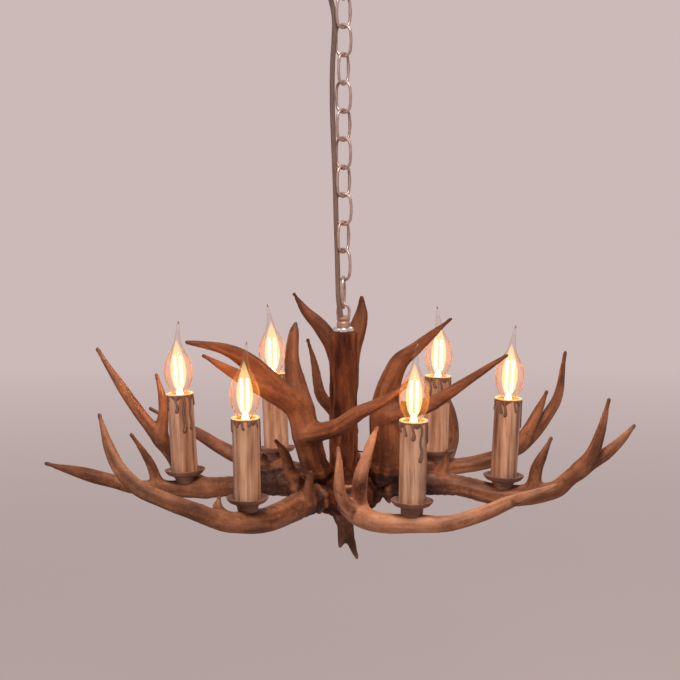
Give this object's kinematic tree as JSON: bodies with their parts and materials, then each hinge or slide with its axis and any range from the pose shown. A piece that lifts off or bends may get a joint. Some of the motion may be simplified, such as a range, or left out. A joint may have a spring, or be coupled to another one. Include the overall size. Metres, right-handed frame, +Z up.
{
  "type": "antler chandelier",
  "caption": "Candle chandelier of cast antlers round a bark column and hub, hung on a link chain with its supply cable from a ceiling canopy.",
  "frame": {"origin": "middle of the bracket's face on the ceiling", "axes": "+Z up, out of the ceiling face; the front of the chandelier looks along -Y; the bracket's screw slots lie along X"},
  "size_m": [0.7079, 0.4171, 0.7837],
  "materials": {
    "bracket_steel": "zinc-plated, plain",
    "terminal_plastic": "white connector plastic",
    "rust_bronze": "hand-rubbed bronze-brown paint",
    "chain_copper": "aged copper-pink paint, worn",
    "cable_sheath": "brown braided sheath",
    "grip_plastic": "brown plastic",
    "collar_bronze": "pinkish bronze",
    "washer_chrome": "polished",
    "bark": "cast resin, bark texture, dark brown glaze",
    "antler_resin": "cast resin, hand-painted antler, satin",
    "pan_bronze": "dark bronze paint",
    "steel_thread": "plain threaded steel",
    "candle_resin": "cast resin with brown wax drips",
    "holder_plastic": "dark phenolic",
    "bulb_glass": "amber tinted",
    "bulb_cap_brass": "nickel-brass screw cap",
    "filament": "glowing amber filaments on a glass stem"
  },
  "bodies": {
    "ceiling": {"ceiling_bracket": "bracket_steel", "terminal_block": "terminal_plastic", "canopy": "rust_bronze", "canopy_tube": "steel_thread", "canopy_lock_nut": "bracket_steel", "canopy_hook": "rust_bronze", "cable_grip": "grip_plastic"},
    "top_link": {"chain_link_12": "chain_copper"},
    "chain": {"chain_link_11": "chain_copper", "supply_cable": "cable_sheath"},
    "link_10": {"chain_link_10": "chain_copper"},
    "link_09": {"chain_link_09": "chain_copper"},
    "link_08": {"chain_link_08": "chain_copper"},
    "link_07": {"chain_link_07": "chain_copper"},
    "link_06": {"chain_link_06": "chain_copper"},
    "link_05": {"chain_link_05": "chain_copper"},
    "link_04": {"chain_link_04": "chain_copper"},
    "link_03": {"chain_link_03": "chain_copper"},
    "link_02": {"chain_link_02": "chain_copper"},
    "link_01": {"chain_link_01": "chain_copper"},
    "chandelier": {"column_loop": "chain_copper", "column_collar": "collar_bronze", "column_washer": "washer_chrome", "bark_column": "bark", "column_tube": "steel_thread", "bark_hub": "bark", "antler_finial": "antler_resin", "antler_arm_right": "antler_resin", "antler_arm_back_right": "antler_resin", "antler_arm_back_left": "antler_resin", "antler_arm_left": "antler_resin", "antler_arm_front_left": "antler_resin", "antler_arm_front_right": "antler_resin", "antler_upright_left": "antler_resin", "antler_upright_right": "antler_resin", "antler_upright_back": "antler_resin", "drip_pans": "pan_bronze", "candle_cups": "pan_bronze", "candle_studs": "steel_thread", "candle_sleeves": "candle_resin", "lampholders": "holder_plastic"},
    "bulb_right": {"bulb_right_glass": "bulb_glass", "bulb_right_cap": "bulb_cap_brass", "bulb_right_filament": "filament"},
    "bulb_back_right": {"bulb_back_right_glass": "bulb_glass", "bulb_back_right_cap": "bulb_cap_brass", "bulb_back_right_filament": "filament"},
    "bulb_back_left": {"bulb_back_left_glass": "bulb_glass", "bulb_back_left_cap": "bulb_cap_brass", "bulb_back_left_filament": "filament"},
    "bulb_left": {"bulb_left_glass": "bulb_glass", "bulb_left_cap": "bulb_cap_brass", "bulb_left_filament": "filament"},
    "bulb_front_left": {"bulb_front_left_glass": "bulb_glass", "bulb_front_left_cap": "bulb_cap_brass", "bulb_front_left_filament": "filament"},
    "bulb_front_right": {"bulb_front_right_glass": "bulb_glass", "bulb_front_right_cap": "bulb_cap_brass", "bulb_front_right_filament": "filament"}
  },
  "joints": [
    {"name": "swing_side", "type": "hinge", "parent": "ceiling", "child": "top_link", "pos_m": [0, 0, -0.084], "axis": [0, 1, 0], "range_deg": [-12, 12]},
    {"name": "swing_front", "type": "hinge", "parent": "top_link", "child": "chain", "pos_m": [0, 0, -0.1167], "axis": [1, 0, 0], "range_deg": [-12, 12]},
    {"name": "turn", "type": "hinge", "parent": "chain", "child": "chandelier", "pos_m": [0, 0, -0.4797], "axis": [0, 0, 1], "range_deg": [-60, 60], "deforming": ["supply_cable"]},
    {"name": "twist_link_10", "type": "hinge", "parent": "chain", "child": "link_10", "pos_m": [0, 0, -0.4797], "axis": [0, 0, 1], "range_deg": [-6, 6]},
    {"name": "twist_link_09", "type": "hinge", "parent": "chain", "child": "link_09", "pos_m": [0, 0, -0.4797], "axis": [0, 0, 1], "range_deg": [-11.4, 11.4]},
    {"name": "twist_link_08", "type": "hinge", "parent": "chain", "child": "link_08", "pos_m": [0, 0, -0.4797], "axis": [0, 0, 1], "range_deg": [-16.9, 16.9]},
    {"name": "twist_link_07", "type": "hinge", "parent": "chain", "child": "link_07", "pos_m": [0, 0, -0.4797], "axis": [0, 0, 1], "range_deg": [-22.3, 22.3]},
    {"name": "twist_link_06", "type": "hinge", "parent": "chain", "child": "link_06", "pos_m": [0, 0, -0.4797], "axis": [0, 0, 1], "range_deg": [-27.8, 27.8]},
    {"name": "twist_link_05", "type": "hinge", "parent": "chain", "child": "link_05", "pos_m": [0, 0, -0.4797], "axis": [0, 0, 1], "range_deg": [-33.2, 33.2]},
    {"name": "twist_link_04", "type": "hinge", "parent": "chain", "child": "link_04", "pos_m": [0, 0, -0.4797], "axis": [0, 0, 1], "range_deg": [-38.7, 38.7]},
    {"name": "twist_link_03", "type": "hinge", "parent": "chain", "child": "link_03", "pos_m": [0, 0, -0.4797], "axis": [0, 0, 1], "range_deg": [-44.1, 44.1]},
    {"name": "twist_link_02", "type": "hinge", "parent": "chain", "child": "link_02", "pos_m": [0, 0, -0.4797], "axis": [0, 0, 1], "range_deg": [-49.6, 49.6]},
    {"name": "twist_link_01", "type": "hinge", "parent": "chain", "child": "link_01", "pos_m": [0, 0, -0.4797], "axis": [0, 0, 1], "range_deg": [-55, 55]},
    {"name": "unscrew_bulb_right", "type": "slide", "parent": "chandelier", "child": "bulb_right", "axis": [0.0521, -0.0049, 0.9986], "range_m": [0, 0.03]},
    {"name": "unscrew_bulb_back_right", "type": "slide", "parent": "chandelier", "child": "bulb_back_right", "axis": [0.0315, 0.0418, 0.9986], "range_m": [0, 0.03]},
    {"name": "unscrew_bulb_back_left", "type": "slide", "parent": "chandelier", "child": "bulb_back_left", "axis": [-0.042, 0.0861, 0.9954], "range_m": [0, 0.03]},
    {"name": "unscrew_bulb_left", "type": "slide", "parent": "chandelier", "child": "bulb_left", "axis": [-0.059, 0.0056, 0.9982], "range_m": [0, 0.03]},
    {"name": "unscrew_bulb_front_left", "type": "slide", "parent": "chandelier", "child": "bulb_front_left", "axis": [-0.02, -0.0286, 0.9994], "range_m": [0, 0.03]},
    {"name": "unscrew_bulb_front_right", "type": "slide", "parent": "chandelier", "child": "bulb_front_right", "axis": [0.0142, -0.0319, 0.9994], "range_m": [0, 0.03]}
  ],
  "couplings": [
    {"joint": "twist_link_10", "follows": "turn", "ratio": 0.09091},
    {"joint": "twist_link_09", "follows": "turn", "ratio": 0.18182},
    {"joint": "twist_link_08", "follows": "turn", "ratio": 0.27273},
    {"joint": "twist_link_07", "follows": "turn", "ratio": 0.36364},
    {"joint": "twist_link_06", "follows": "turn", "ratio": 0.45455},
    {"joint": "twist_link_05", "follows": "turn", "ratio": 0.54545},
    {"joint": "twist_link_04", "follows": "turn", "ratio": 0.63636},
    {"joint": "twist_link_03", "follows": "turn", "ratio": 0.72727},
    {"joint": "twist_link_02", "follows": "turn", "ratio": 0.81818},
    {"joint": "twist_link_01", "follows": "turn", "ratio": 0.90909}
  ]
}
